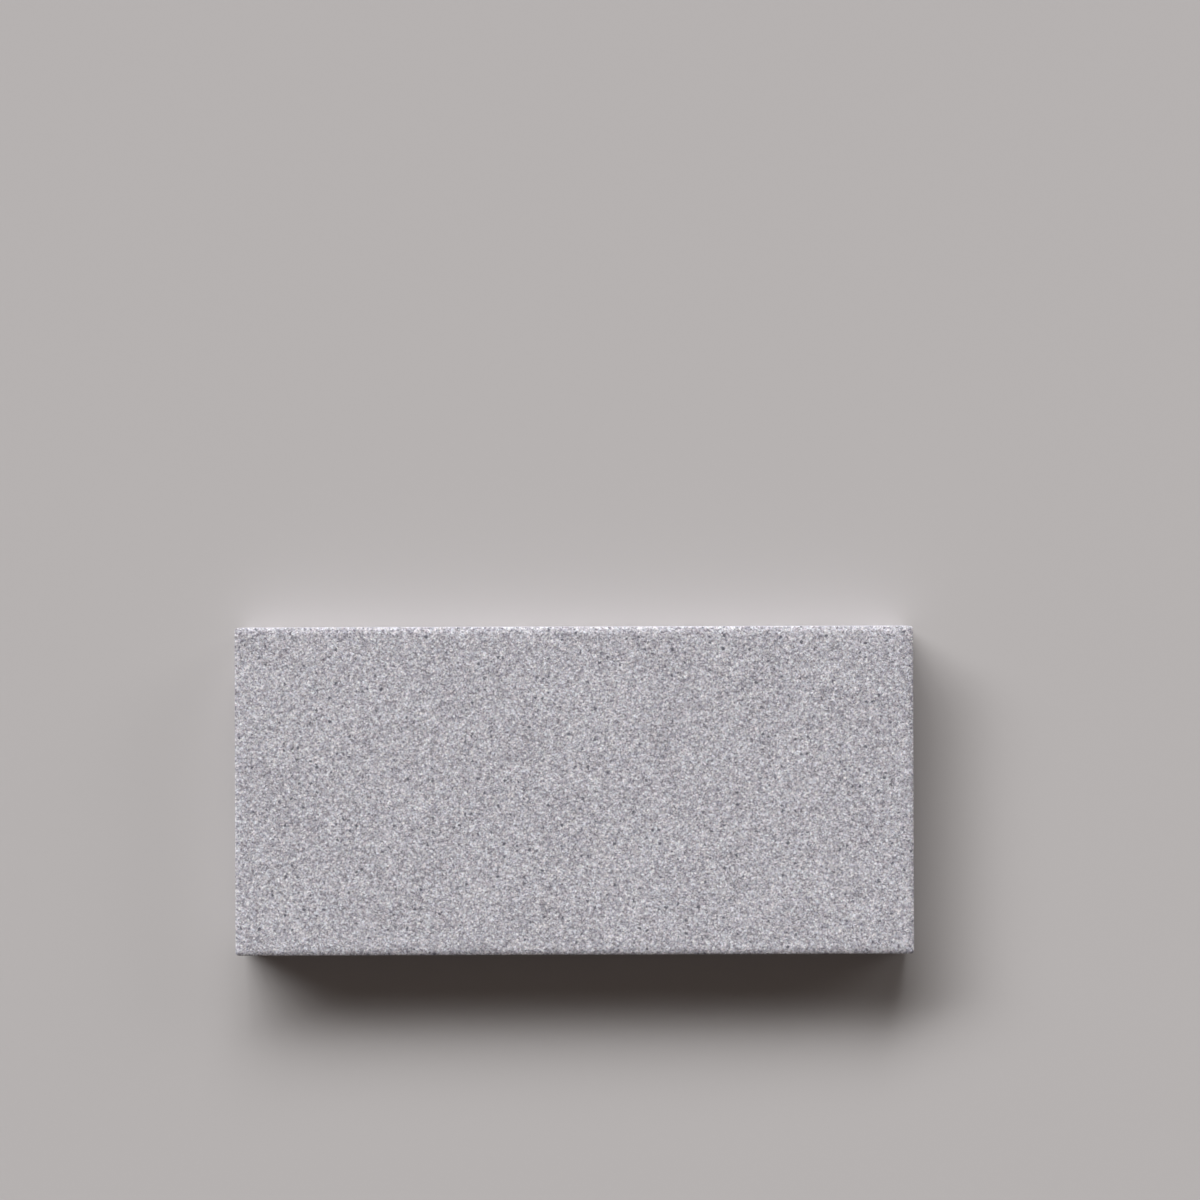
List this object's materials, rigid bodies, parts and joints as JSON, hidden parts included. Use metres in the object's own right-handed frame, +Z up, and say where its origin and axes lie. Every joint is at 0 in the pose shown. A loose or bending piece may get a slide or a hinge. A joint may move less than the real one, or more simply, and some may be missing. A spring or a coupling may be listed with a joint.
{
  "type": "clinker floor tile",
  "caption": "Flat oblong unglazed clinker floor tile with rounded wearing edges and a shallow square keying grid pressed into its underside.",
  "frame": {"origin": "middle of the underside, on the plane the tile rests on", "axes": "+X along the length, +Y across the width, +Z up out of the wearing face"},
  "size_m": [0.24, 0.116, 0.018],
  "materials": {
    "clinker": "unglazed, matt, fine-grained pale grey with dark and light speckle"
  },
  "bodies": {
    "root": {"tile": "clinker"}
  },
  "joints": []
}
